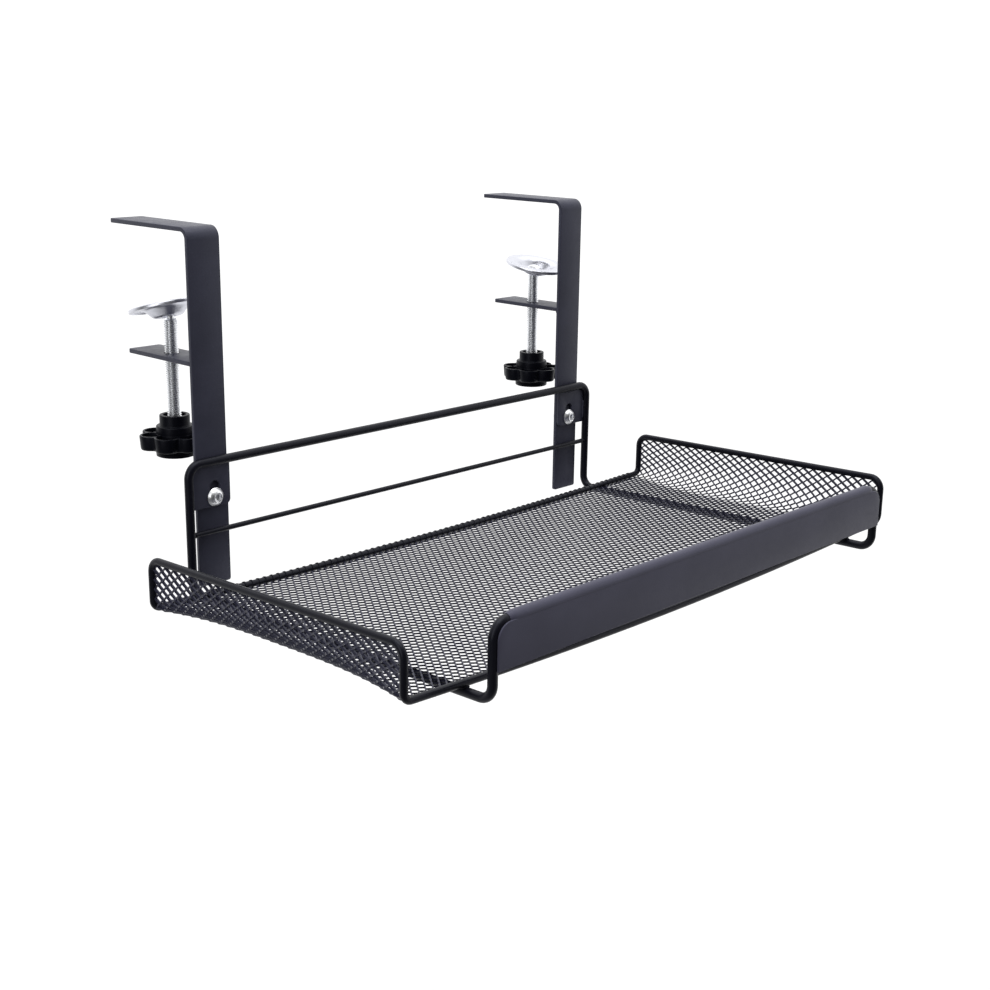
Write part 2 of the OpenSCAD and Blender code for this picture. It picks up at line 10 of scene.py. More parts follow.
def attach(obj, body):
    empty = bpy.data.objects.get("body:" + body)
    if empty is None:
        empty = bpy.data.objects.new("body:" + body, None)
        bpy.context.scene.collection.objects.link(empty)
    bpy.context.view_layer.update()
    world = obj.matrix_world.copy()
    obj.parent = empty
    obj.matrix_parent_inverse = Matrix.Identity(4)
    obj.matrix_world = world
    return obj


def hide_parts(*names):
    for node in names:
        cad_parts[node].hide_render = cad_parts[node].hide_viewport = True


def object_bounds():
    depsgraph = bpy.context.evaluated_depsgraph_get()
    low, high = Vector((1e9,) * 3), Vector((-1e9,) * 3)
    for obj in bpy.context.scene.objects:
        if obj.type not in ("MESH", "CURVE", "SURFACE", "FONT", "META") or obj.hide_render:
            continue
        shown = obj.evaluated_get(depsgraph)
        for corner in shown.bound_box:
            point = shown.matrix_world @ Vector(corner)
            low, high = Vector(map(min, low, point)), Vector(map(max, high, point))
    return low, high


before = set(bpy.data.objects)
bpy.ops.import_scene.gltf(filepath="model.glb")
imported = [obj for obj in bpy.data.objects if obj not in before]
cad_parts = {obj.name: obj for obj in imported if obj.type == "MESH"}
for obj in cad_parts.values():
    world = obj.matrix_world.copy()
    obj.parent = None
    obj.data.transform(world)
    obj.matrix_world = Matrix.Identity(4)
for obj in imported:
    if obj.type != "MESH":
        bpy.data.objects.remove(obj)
CAD_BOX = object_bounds()

bl_info = {
    "name": "Under desk cable tray",
    "version": (1, 0, 0),
    "blender": (4, 5, 0),
    "location": "View3D > Sidebar > Cable tray",
    "description": "Builds the pieces and finishes of a clamp-on cable tray",
    "category": "Add Mesh",
}

SIDES = (("left", -1), ("right", 1))

# Places and sizes that the pieces share with the solids, in millimetres and degrees

CLAMP_X = 150
BAR_W = 21
BAR_T = 2.5
BAR_CORNER = 1.5
ARM_REACH = 70
BAR_DROP = 197
ARM_BEND = 4
PLATE_TOP = -69.3
PLATE_REACH = 58

SCREW_Y = 31
SCREW_LEN = 71.3
SCREW_R = 3.95
SCREW_ROOT = 3.15
SEAT_Z = -49.2  # where the rivet's shoulder sits on the screw
KNOB_FOOT_Z = -128
KNOB_TURN = 163.5
LOBES = 7
LOBE_AT = 13.5
PAD_TILT = {"left": -16.5, "right": 11.5}

SLOT_Z = -145.7
SLOT_R = 3.25
SLOT_TRAVEL = 6
TAB_REAR_Y = -2.6
TAB_T = 2
TAB_DROP = 151.2
TAB_CORNER = 3
HEAD_Y = -4.7
HEAD_R = 5.25
HEAD_H = 3.3

CRADLE_X = 167.5
CRADLE_R = 2.5
CRADLE_BEND = 8
UPRIGHT_Y = -5.15
LEG_Y = -234.65
RAIL_Z = -125
MIDDLE_Z = -165
RUN_Z = -198.5
RUN_RISE = math.tan(math.radians(1.42))
LIP_Z = -155
LIP_BEND = 8.5
PANEL_Z = -178
PANEL_T = 1

RIM_X = 206
RIM_R = 2
RIM_FOOT = 4.5  # bend radius at the foot of the end walls
RIM_TOP = 7
RIM_GAP = 0.05  # between the rim and the cradle
REAR_Y = -24
FRONT_Y = -217
WALL_H = 27.3
SAG_REAR = 3
SAG_FRONT = 5
ARC_SHARE = 0.92  # of the floor wire's half length that hangs as an arc
SHEET_BEND = 19  # radius between floor and end wall at mid depth
SHEET_TOP_GAP = 0.72
SHEET_SIDE_GAP = 2.02
SHEET_DROP = 1.3
MESH_LEAN = 0.042  # how far the diamonds lean from front to rear, as a share of the width

SHEET_EDGE = 0.3  # rounding on the edges of the thin sheets

# Stage, in metres and watts

FLOOR_HALF = 2.0
FLOOR_DROP = 0.25
LIGHT_AIM = (0, -0.1, -0.15)
LIGHTS = (
    ("top", (-0.2, -0.3, 1.5), (1.5, 1.1), 15),
    ("left", (-1.5, -0.4, 0.4), (0.9, 1.4), 8),
    ("right", (1.2, -1.3, 0.5), (0.35, 1.2), 2),
)
FAR_SIDE = (0.69, 0.72, -0.1)
CAMERA_AT = (-0.6307, -0.6708, 0.0807)
CAMERA_ANGLES = (46.715, -15.467, 0.794)  # towards the right, up and roll
SENSOR_MM = 36
FOCAL_SHARE = 1508.5 / 990  # focal length as a share of the sensor's width


class TraySizes(bpy.types.PropertyGroup):
    """Sizes that the solids leave to the dressed pieces."""

    mesh_long: bpy.props.FloatProperty(
        name="Mesh long way", description="Pitch of the mesh from front to rear", default=0.0073, unit="LENGTH"
    )
    mesh_short: bpy.props.FloatProperty(
        name="Mesh short way", description="Pitch of the mesh along the desk", default=0.0047, unit="LENGTH"
    )
    strand: bpy.props.FloatProperty(
        name="Strand width", description="Width of one mesh strand", default=0.00074, unit="LENGTH"
    )
    strand_lift: bpy.props.FloatProperty(
        name="Strand lift", description="How far a strand's edge stands out", default=0.00045, unit="LENGTH"
    )
    clamp_pitch: bpy.props.FloatProperty(
        name="Clamp screw pitch", description="Pitch of the clamp screw's thread", default=0.00125, unit="LENGTH"
    )
    slot_pitch: bpy.props.FloatProperty(
        name="Slot screw pitch", description="Pitch of the slot screw's thread", default=0.001, unit="LENGTH"
    )
    edge_round: bpy.props.FloatProperty(
        name="Edge rounding", description="Radius on the edges of the flat bars", default=0.0004, unit="LENGTH"
    )


class TrayFinish(bpy.types.PropertyGroup):
    """Colours of the finishes."""

    bar: bpy.props.FloatVectorProperty(
        name="Bars", description="Coat on bars and tabs", subtype="COLOR", size=4, default=(0.036, 0.037, 0.056, 1)
    )
    wire: bpy.props.FloatVectorProperty(
        name="Wires", description="Coat on wires", subtype="COLOR", size=4, default=(0.003, 0.003, 0.006, 1)
    )
    lip: bpy.props.FloatVectorProperty(
        name="Lip", description="Coat on the lip", subtype="COLOR", size=4, default=(0.056, 0.055, 0.083, 1)
    )
    zinc: bpy.props.FloatVectorProperty(
        name="Zinc", description="Plating on the screws", subtype="COLOR", size=4, default=(0.93, 0.94, 0.96, 1)
    )
    pad: bpy.props.FloatVectorProperty(
        name="Pads", description="Plating on the pads", subtype="COLOR", size=4, default=(0.7, 0.71, 0.77, 1)
    )
    knob: bpy.props.FloatVectorProperty(
        name="Knobs", description="Plastic of the knobs", subtype="COLOR", size=4, default=(0.0028, 0.003, 0.0052, 1)
    )


def sizes():
    return bpy.context.scene.tray_sizes


def finish():
    return bpy.context.scene.tray_finish


# Meshes are kept as (points in millimetres, faces) until they become an object


def joined(*parts):
    """Several meshes as one."""
    points, faces = [], []
    for p, f in parts:
        n = len(points)
        points += p
        faces += [[i + n for i in face] for face in f]
    return points, faces


def moved(part, matrix):
    """A mesh under a transform."""
    return [tuple(matrix @ Vector(p)) for p in part[0]], part[1]


def at(x, y, z):
    return Matrix.Translation((x, y, z))


def turned(degrees, axis):
    return Matrix.Rotation(math.radians(degrees), 4, axis)


def add_piece(name, part, material, body, nodes=(), sharp=35, second=None):
    """A piece that rides on a body, takes a material and may stand for nodes, which it hides.

    second is a further material and a test of a face's centre, in millimetres, that picks its faces.
    """
    mesh = bpy.data.meshes.new(name)
    mesh.from_pydata([[c * 0.001 for c in p] for p in part[0]], [], part[1])
    mesh.materials.append(material)
    if second:
        mesh.materials.append(second[0])
        for face in mesh.polygons:
            face.material_index = int(second[1](face.center * 1000))
    bm = bmesh.new()
    bm.from_mesh(mesh)
    bmesh.ops.remove_doubles(bm, verts=bm.verts, dist=1e-6)
    bmesh.ops.recalc_face_normals(bm, faces=bm.faces)
    bm.to_mesh(mesh)
    bm.free()
    mesh.shade_smooth()
    mesh.set_sharp_from_angle(angle=math.radians(sharp))
    piece = bpy.data.objects.new(name, mesh)
    bpy.context.scene.collection.objects.link(piece)
    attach(piece, body)
    if nodes:
        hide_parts(*nodes)
    return piece


def add_pair(name, part, material, body, node, y=0, z=0, sharp=35):
    """The same piece at both clamps. {} in a name stands for the side."""
    for side, sign in SIDES:
        there = moved(part, at(sign * CLAMP_X, y, z))
        add_piece(name.format(side), there, material, body.format(side), [node.format(side)], sharp)


def grid_faces(rows, cols, closed_rows=False, closed_cols=False):
    """Quads between rows x cols points, kept row by row."""
    faces = []
    for i in range(rows if closed_rows else rows - 1):
        for j in range(cols if closed_cols else cols - 1):
            k, m = (i + 1) % rows, (j + 1) % cols
            faces.append([i * cols + j, i * cols + m, k * cols + m, k * cols + j])
    return faces


def rounded(points, radii, n=5, closed=False):
    """A path with its corners turned into arcs, in two or three dimensions."""
    pts = [Vector(p) for p in points]
    count = len(pts)
    out = []
    for i, b in enumerate(pts):
        r = radii[i] if isinstance(radii, (list, tuple)) else radii
        if (not closed and i in (0, count - 1)) or r <= 0:
            out.append(b)
            continue
        u = (b - pts[i - 1]).normalized()
        v = (pts[(i + 1) % count] - b).normalized()
        angle = u.angle(v)
        if angle < 1e-4:
            out.append(b)
            continue
        reach = r * math.tan(angle / 2)
        side = (v - u * u.dot(v)).normalized()
        centre = b - u * reach + side * r
        for k in range(n + 1):
            t = angle * k / n
            out.append(centre - side * (r * math.cos(t)) + u * (r * math.sin(t)))
    return out


def arc(cx, cy, r, start, end, n):
    """Points of an arc between two angles in degrees."""
    angles = [math.radians(start + (end - start) * k / n) for k in range(n + 1)]
    return [(cx + r * math.cos(a), cy + r * math.sin(a)) for a in angles]


def circle(r, steps=48):
    """Points of a circle."""
    return [(r * math.cos(2 * math.pi * k / steps), r * math.sin(2 * math.pi * k / steps)) for k in range(steps)]


def lathe(profile, steps=64, closed=False):
    """A profile of (radius, height) turned about Z. An open profile may start and end on the axis."""
    points = [(x, y, z) for r, z in profile for x, y in circle(r, steps)]
    return points, grid_faces(len(profile), steps, closed_rows=closed, closed_cols=True)


def tube(path, radius, sides=20, closed=False):
    """A round wire along a path. radius is a number or one for each point."""
    pts = [Vector(p) for p in path]
    clean = [pts[0]]
    for p in pts[1:]:
        if (p - clean[-1]).length > 1e-3:
            clean.append(p)
    if closed and (clean[0] - clean[-1]).length < 1e-3:
        clean.pop()
    pts, n = clean, len(clean)

    def along(i):
        a = pts[(i - 1) % n] if closed or i > 0 else pts[0]
        b = pts[(i + 1) % n] if closed or i < n - 1 else pts[-1]
        return (b - a).normalized()

    tangents = [along(i) for i in range(n)]
    normal = tangents[0].orthogonal().normalized()
    normals = [normal]
    for i in range(1, n):
        normal = tangents[i - 1].rotation_difference(tangents[i]) @ normal
        normal = (normal - tangents[i] * normal.dot(tangents[i])).normalized()
        normals.append(normal)
    twist = 0.0
    if closed:
        last = tangents[-1].rotation_difference(tangents[0]) @ normals[-1]
        side = tangents[0].cross(normals[0])
        twist = math.atan2(last.dot(side), last.dot(normals[0]))
    points = []
    for i, p in enumerate(pts):
        side = tangents[i].cross(normals[i])
        r = radius[i] if isinstance(radius, (list, tuple)) else radius
        for k in range(sides):
            a = 2 * math.pi * k / sides - twist * i / n
            points.append(tuple(p + (normals[i] * math.cos(a) + side * math.sin(a)) * r))
    faces = grid_faces(n, sides, closed_rows=closed, closed_cols=True)
    if not closed:
        faces += [list(range(sides))[::-1], list(range((n - 1) * sides, n * sides))]
    return points, faces


def inset(outline, d):
    """A closed outline moved inwards by d. It runs anticlockwise; a hole runs clockwise."""
    out = []
    n = len(outline)
    for i, p in enumerate(outline):
        a, b, c = Vector(outline[i - 1]), Vector(p), Vector(outline[(i + 1) % n])
        u, v = (b - a).normalized(), (c - b).normalized()
        left_u, left_v = Vector((-u.y, u.x)), Vector((-v.y, v.x))
        middle = (left_u + left_v).normalized()
        out.append(tuple(b + middle * (d / max(0.3, middle.dot(left_u)))))
    return out


def walls(rings):
    """Side faces over outlines, each with levels of (height, inset) from bottom to top.

    Gives points, faces and the point numbers of the lowest and topmost loops.
    """
    points, faces, feet, tops = [], [], [], []
    for outline, levels in rings:
        start, n = len(points), len(outline)
        for z, d in levels:
            points += [(x, y, z) for x, y in inset(outline, d)]
        faces += [[i + start for i in f] for f in grid_faces(len(levels), n, closed_cols=True)]
        feet.append(list(range(start, start + n)))
        tops.append(list(range(len(points) - n, len(points))))
    return points, faces, feet, tops


def filled(points, loops):
    """Triangles over the flat area between loops of point numbers."""
    bm = bmesh.new()
    verts, edges = {}, []
    for loop in loops:
        for i in loop:
            verts[i] = bm.verts.new(points[i])
        for i, j in zip(loop, loop[1:] + loop[:1]):
            edges.append(bm.edges.new((verts[i], verts[j])))
    order = {v: i for i, v in verts.items()}
    bmesh.ops.triangle_fill(bm, use_beauty=True, use_dissolve=False, edges=edges)
    faces = [[order[v] for v in f.verts] for f in bm.faces]
    bm.free()
    return faces


def slab(outline, holes, levels):
    """A plate between outlines. levels are (height, inset) from bottom to top."""
    points, faces, feet, tops = walls([(loop, levels) for loop in [outline] + holes])
    return points, faces + filled(points, feet) + filled(points, tops)


def edge_levels(z0, z1, r):
    """Levels of a plate from z0 to z1 with both edges rounded by r."""
    angles = (0, math.pi / 6, math.pi / 3, math.pi / 2)
    turn = [(r * (1 - math.cos(a)), r * (1 - math.sin(a))) for a in angles]
    return [(z0 + h, d) for h, d in turn] + [(z1 - h, d) for h, d in turn[::-1]]


def threaded(r, root, pitch, z0, z1, steps=28, tip=None):
    """A screw thread along Z with a flat crest and root. tip is the radius at a chamfered top."""
    shape = ((0.0, r), (0.1, r), (0.46, root), (0.62, root))
    turns = int((z1 - z0) / pitch) + 3
    points, faces = [], []
    rows = 4 * turns
    for k in range(steps):
        for i in range(rows):
            share, radius = shape[i % 4]
            z = z0 - pitch + (i // 4 + share + k / steps) * pitch
            z = min(z1, max(z0, z))
            if tip is not None:
                radius = min(radius, tip + (z1 - z) / 0.7)
            a = 2 * math.pi * k / steps
            points.append((radius * math.cos(a), radius * math.sin(a), z))
    for k in range(steps):
        m, shift = ((k + 1) % steps, 0) if k < steps - 1 else (0, 4)
        for i in range(rows - 1 - shift):
            faces.append([k * rows + i, m * rows + i + shift, m * rows + i + 1 + shift, k * rows + i + 1])
    faces = [f for f in faces if len({points[i] for i in f}) > 2]
    top = r if tip is None else tip
    caps = lathe([(0, z0), (r, z0)], steps), lathe([(top, z1), (0, z1)], steps)
    return joined((points, faces), *caps)


# The tray's hanging floor


def run_z(y):
    """Height of the cradle's floor runs at y."""
    return RUN_Z + (UPRIGHT_Y - y) * RUN_RISE


def hang(x, sag):
    """Drop of a floor wire at x, an arc with straight ends."""
    q = math.atan(sag / (RIM_X * (1 - ARC_SHARE / 2)))
    r = ARC_SHARE * RIM_X / math.sin(q)
    x = min(abs(x), RIM_X)
    if x > ARC_SHARE * RIM_X:
        return (RIM_X - x) * math.tan(q)
    return RIM_X * math.tan(q) - r / math.cos(q) + math.sqrt(r * r - x * x)


def sag_at(y):
    """Sag of the floor's middle at y."""
    return SAG_REAR + (SAG_FRONT - SAG_REAR) * (REAR_Y - y) / (REAR_Y - FRONT_Y)


def rim_z(y):
    """Height of the rim's lower corners at y."""
    return run_z(y) + CRADLE_R + RIM_R + RIM_GAP + hang(CRADLE_X, sag_at(y))


def sheet_point(s, t, off):
    """Point of the mesh sheet: s from the left wall's top to the right's, t from front to rear.

    off is the height over the sheet's middle, towards the inside.
    """
    share = 1 - abs(2 * t - 1) ** 3
    r = RIM_FOOT + (SHEET_BEND - RIM_FOOT) * share
    flat = RIM_X - r
    arc = math.pi * r / 2
    rise = WALL_H - SHEET_TOP_GAP
    d = abs(2 * s - 1) * (flat + arc + rise - r)
    phi = math.pi / 2 * max(0, min(1, (d - flat) / arc))
    x = min(d, flat) + (r - off) * math.sin(phi)
    z = r - (r - off) * math.cos(phi) + max(0, d - flat - arc)
    y = FRONT_Y + SHEET_SIDE_GAP + t * (REAR_Y - FRONT_Y - 2 * SHEET_SIDE_GAP)
    return (math.copysign(x, s - 0.5), y, rim_z(y) - SHEET_DROP + z - hang(x, sag_at(y)))


# Finishes


def node_group(name, inputs):
    """A shader node group that puts out a look. inputs are (name, kind, default)."""
    tree = bpy.data.node_groups.new(name, "ShaderNodeTree")
    for label, kind, default in inputs:
        socket = tree.interface.new_socket(name=label, in_out="INPUT", socket_type="NodeSocket" + kind)
        socket.default_value = default
    for label, kind in (("Colour", "Color"), ("Roughness", "Float"), ("Height", "Float")):
        tree.interface.new_socket(name=label, in_out="OUTPUT", socket_type="NodeSocket" + kind)
    place = tree.nodes.new("ShaderNodeTexCoord").outputs["Object"]
    return tree, tree.nodes.new("NodeGroupInput").outputs, tree.nodes.new("NodeGroupOutput").inputs, place


def wire_up(tree, start, end):
    """Links a socket, or sets a constant on the end."""
    if isinstance(start, bpy.types.NodeSocket):
        tree.links.new(start, end)
    else:
        end.default_value = start


def ramp(tree, value, low, high, to_low=0.0, to_high=1.0):
    """Maps a value from one range to another, clamped."""
    node = tree.nodes.new("ShaderNodeMapRange")
    for socket, number in zip(("From Min", "From Max", "To Min", "To Max"), (low, high, to_low, to_high)):
        node.inputs[socket].default_value = number
    wire_up(tree, value, node.inputs["Value"])
    return node.outputs["Result"]


def noise_at(tree, vector, scale, detail=2.0, rough=0.5):
    """Noise of 0 to 1 at a place. scale is a number or a socket."""
    node = tree.nodes.new("ShaderNodeTexNoise")
    for label, value in (("Scale", scale), ("Detail", detail), ("Roughness", rough), ("Vector", vector)):
        wire_up(tree, value, node.inputs[label])
    return node.outputs["Fac"]


def mixed(tree, factor, a, b):
    """Colour a to colour b by factor. Each is a socket or a colour."""
    node = tree.nodes.new("ShaderNodeMix")
    node.data_type = "RGBA"
    for socket, value in ((node.inputs[0], factor), (node.inputs[6], a), (node.inputs[7], b)):
        wire_up(tree, value, socket)
    return node.outputs[2]


def maths(tree, operation, a, b):
    """Result of a sum on two values, each a socket or a number."""
    node = tree.nodes.new("ShaderNodeMath")
    node.operation = operation
    wire_up(tree, a, node.inputs[0])
    wire_up(tree, b, node.inputs[1])
    return node.outputs[0]


def powder_coat_group():
    """Baked coat: orange peel, a cloudy colour and faint handling marks."""
    name = "powder_coat"
    if name in bpy.data.node_groups:
        return bpy.data.node_groups[name]
    tree, given, out, place = node_group(
        name,
        [("Colour", "Color", (0.02, 0.02, 0.02, 1)), ("Light", "Color", (0.05, 0.05, 0.05, 1)),
         ("Peel", "Float", 900.0), ("Rough", "Float", 0.4), ("Vary", "Float", 0.08)],
    )
    cloud = noise_at(tree, place, 38.0, 3.0)
    speck = noise_at(tree, place, 2600.0, 1.0)
    mark = noise_at(tree, place, 210.0, 6.0, 0.65)
    peel = noise_at(tree, place, given["Peel"], 1.5)
    share = ramp(tree, cloud, 0.35, 0.7, 0.0, 0.3)
    share = maths(tree, "ADD", share, ramp(tree, speck, 0.6, 0.8, 0.0, 0.35))
    share = maths(tree, "ADD", share, ramp(tree, mark, 0.66, 0.76, 0.0, 0.3))
    colour = mixed(tree, share, given["Colour"], given["Light"])
    swing = maths(tree, "MULTIPLY", ramp(tree, mark, 0.3, 0.7, -1.0, 1.0), given["Vary"])
    wire_up(tree, colour, out["Colour"])
    wire_up(tree, maths(tree, "ADD", given["Rough"], swing), out["Roughness"])
    wire_up(tree, peel, out["Height"])
    return tree


def plated_group():
    """Bright plating: faint clouding, fine scratches round the piece and a dulled roughness."""
    name = "plated"
    if name in bpy.data.node_groups:
        return bpy.data.node_groups[name]
    tree, given, out, place = node_group(
        name,
        [("Colour", "Color", (0.7, 0.7, 0.7, 1)), ("Tarnish", "Color", (0.5, 0.5, 0.48, 1)),
         ("Rough", "Float", 0.2), ("Stretch", "Vector", (1.0, 1.0, 8.0))],
    )
    stretch = tree.nodes.new("ShaderNodeVectorMath")
    stretch.operation = "MULTIPLY"
    wire_up(tree, place, stretch.inputs[0])
    wire_up(tree, given["Stretch"], stretch.inputs[1])
    cloud = noise_at(tree, place, 160.0, 4.0)
    line = noise_at(tree, stretch.outputs["Vector"], 700.0, 2.0)
    dull = ramp(tree, cloud, 0.45, 0.75, 0.0, 0.8)
    colour = mixed(tree, dull, given["Colour"], given["Tarnish"])
    rough = maths(tree, "ADD", given["Rough"], ramp(tree, line, 0.3, 0.7, -0.03, 0.06))
    wire_up(tree, colour, out["Colour"])
    wire_up(tree, rough, out["Roughness"])
    wire_up(tree, line, out["Height"])
    return tree


def new_material(name):
    """A material with its node tree and shader."""
    material = bpy.data.materials.new(name)
    material.use_nodes = True
    return material, material.node_tree, material.node_tree.nodes["Principled BSDF"]


def lighter(colour, times):
    """A colour with its parts times a number."""
    return tuple(min(1.0, c * times) for c in colour[:3]) + (1.0,)


# Colour and how many times lighter, then specks' lightness, peel, roughness, its swing, bump depth, specular
COATS = {
    "bar_finish": ("bar", 1, 2.0, 850.0, 0.42, 0.06, 0.00004, 0.28),
    "wire_finish": ("wire", 1, 2.2, 1100.0, 0.38, 0.05, 0.00002, 0.22),
    "mesh_finish": ("wire", 5.5, 2.0, 1500.0, 0.36, 0.08, 0.00003, 0.3),
    "lip_finish": ("lip", 1, 1.5, 1300.0, 0.42, 0.04, 0.00002, 0.2),
    "knob_finish": ("knob", 1, 2.0, 1600.0, 0.36, 0.08, 0.00001, 0.12),
}
# Colour and how many times lighter, then roughness and the scratches' scale along each axis
PLATINGS = {
    "zinc_finish": ("zinc", 1, 0.3, (1.0, 1.0, 0.2)),
    # Zinc made darker for the thread roots: painted shade in the grooves
    "groove_finish": ("zinc", 0.7, 0.3, (1.0, 1.0, 0.2)),
    "pad_finish": ("pad", 1, 0.32, (1.0, 1.0, 6.0)),
}


def finished(name):
    """Material by its name, which isn't its slot's, since the frame has plain materials under those."""
    if name in bpy.data.materials:
        return bpy.data.materials[name]
    material, tree, shader = new_material(name)
    base, times, *rest = COATS.get(name) or PLATINGS[name]
    colour = lighter(getattr(finish(), base), times)
    if name in COATS:
        specks, peel, rough, vary, depth, specular = rest
        group, values = powder_coat_group(), {"Light": lighter(colour, specks), "Peel": peel, "Vary": vary}
        shader.inputs["Specular IOR Level"].default_value = specular
        shader.inputs["Specular Tint"].default_value = (0.84, 0.87, 1, 1)
    else:
        (rough, stretch), depth = rest, 0.000004
        group, values = plated_group(), {"Tarnish": lighter(colour, 0.93), "Stretch": stretch}
        shader.inputs["Metallic"].default_value = 1.0
    node = tree.nodes.new("ShaderNodeGroup")
    node.node_tree = group
    for label, value in (("Colour", colour), ("Rough", rough), *values.items()):
        node.inputs[label].default_value = value
    wire_up(tree, node.outputs["Colour"], shader.inputs["Base Color"])
    wire_up(tree, node.outputs["Roughness"], shader.inputs["Roughness"])
    relief = tree.nodes.new("ShaderNodeBump")
    relief.inputs["Distance"].default_value = depth
    wire_up(tree, node.outputs["Height"], relief.inputs["Height"])
    wire_up(tree, relief.outputs["Normal"], shader.inputs["Normal"])
    return material


class TrayOperator:
    """Shared by the operators of the cable tray."""

    bl_options = {"REGISTER", "UNDO"}


def bar_section(half_w, half_t, r, n=3):
    """Rounded rectangle with 4 (n + 1) points."""
    out = []
    for cx, cy, start in ((1, 1, 0), (-1, 1, 90), (-1, -1, 180), (1, -1, 270)):
        out += arc(cx * (half_w - r), cy * (half_t - r), r, start, start + 90, n)
    return out


def bar_ends(length, r):
    """Stations along a flat bar: (distance, width inset, thickness inset)."""
    out = []
    for share in (0, 0.06, 0.2, 0.45, 0.75, 1):
        s = share * BAR_CORNER
        w = BAR_CORNER - math.sqrt(max(0, BAR_CORNER**2 - (BAR_CORNER - s) ** 2))
        t = r - math.sqrt(max(0, r**2 - (r - min(s, r)) ** 2))
        out.append((s, w, t))
    return out, [(length - s, w, t) for s, w, t in out[::-1]]


def flat_bar(path, round_start=True):
    """A flat bar along a path of (y, z), its width along X."""
    r = sizes().edge_round * 1000
    pts = [Vector((0, y, z)) for y, z in path]
    run = [0.0]
    for a, b in zip(pts, pts[1:]):
        run.append(run[-1] + (b - a).length)
    first, last = bar_ends(run[-1], r)
    between = [(s, 0, 0) for s in run if BAR_CORNER < s < run[-1] - BAR_CORNER]
    stations = (first if round_start else [(0, 0, 0)]) + between + last
    points = []
    for s, w, t in stations:
        i = max(0, min(len(run) - 2, sum(1 for q in run if q <= s) - 1))
        u = (pts[i + 1] - pts[i]).normalized()
        p = pts[i] + u * (s - run[i])
        if 0 < i and abs(s - run[i]) < 1e-9:
            u = (u + (pts[i] - pts[i - 1]).normalized()).normalized()
        side = Vector((1, 0, 0))
        up = side.cross(u)
        for a, b in bar_section(BAR_W / 2 - w, BAR_T / 2 - t, min(r, BAR_T / 2 - t)):
            points.append(tuple(p + side * a + up * b))
    n = len(points) // len(stations)
    faces = grid_faces(len(stations), n, closed_cols=True)
    faces += [list(range(n)), list(range(len(points) - n, len(points)))[::-1]]
    return points, faces


class TRAY_OT_brackets(TrayOperator, bpy.types.Operator):
    """Bent flat bars that hang on the desk's edge."""

    bl_idname = "cable_tray.brackets"
    bl_label = "Brackets"

    def execute(self, context):
        half = BAR_T / 2
        corner = [(-half, z) for z in (-BAR_DROP, -120, -60, half)] + [(35, half), (ARM_REACH, half)]
        bar = flat_bar(rounded(corner, [0, 0, 0, ARM_BEND + half, 0, 0], 12))
        add_pair("{}_bar", bar, finished("bar_finish"), "brackets", "{}_bracket")
        return {"FINISHED"}


def weld_bead(start, end, r, seed):
    """Rippled bead between two points."""
    a, b = Vector(start), Vector(end)
    n = 56
    path, radii = [], []
    for i in range(n + 1):
        path.append(a.lerp(b, i / n))
        end_share = min(1.0, min(i, n - i) / 5 + 0.25)
        ripple = 0.09 * math.sin(i * 1.35) + 0.12 * noise.noise(Vector((i * 0.31, seed, 0)))
        radii.append(r * math.sqrt(end_share) * (1 + ripple))
    return tube(path, radii, 12)


def drilled(mesh, x, y, radius, chamfer, steps=32):
    """The mesh with a chamfered round hole along Z at (x, y) through its two broad faces."""
    points, faces = list(mesh[0]), list(mesh[1])

    def around(face):
        xs, ys, zs = zip(*(points[i] for i in face))
        beside = min(xs) < x - radius and x + radius < max(xs)
        along = min(ys) < y - radius and y + radius < max(ys)
        return beside and along and max(zs) - min(zs) < 1e-6

    broad = sorted((f for f in faces if len(f) == 4 and around(f)), key=lambda f: points[f[0]][2])
    if len(broad) != 2:
        raise RuntimeError("the hole doesn't lie in two broad faces")
    bottom, top = points[broad[0][0]][2], points[broad[1][0]][2]
    first = len(points)
    for wide, z in ((chamfer, bottom), (0, bottom + chamfer), (0, top - chamfer), (chamfer, top)):
        points += [(x + a, y + b, z) for a, b in circle(radius + wide, steps)]
    for face, ring in ((broad[0], first), (broad[1], first + 3 * steps)):
        faces.remove(face)
        near = []
        for k in range(steps):
            a = math.pi * (2 * k + 1) / steps
            spot = Vector((x + radius * math.cos(a), y + radius * math.sin(a)))
            near.append(min(face, key=lambda i: (Vector(points[i][:2]) - spot).length))
        for k in range(steps):
            after = (k + 1) % steps
            fan = [[ring + k, near[k], ring + after]]
            if near[k] != near[after]:
                fan.append([ring + after, near[k], near[after]])
            faces += fan if face is broad[1] else [f[::-1] for f in fan]
    for row in range(3):
        low, high = first + row * steps, first + (row + 1) * steps
        faces += [[high + k, high + (k + 1) % steps, low + (k + 1) % steps, low + k] for k in range(steps)]
    return points, faces


class TRAY_OT_plates(TrayOperator, bpy.types.Operator):
    """Screw plates with their welds."""

    bl_idname = "cable_tray.plates"
    bl_label = "Screw plates"

    def execute(self, context):
        z = PLATE_TOP - BAR_T / 2
        bar = flat_bar([(0, z), (8, z), (PLATE_REACH, z)], False)
        bar = drilled(bar, 0, SCREW_Y, SCREW_R + 0.1, 0.4)
        bead = weld_bead((-9.2, 0.7, z - 1.9), (9.2, 0.7, z - 1.9), 1.35, 3.0)
        part = joined(bar, bead)
        add_pair("{}_plate", part, finished("bar_finish"), "brackets", "{}_screw_plate")
        return {"FINISHED"}


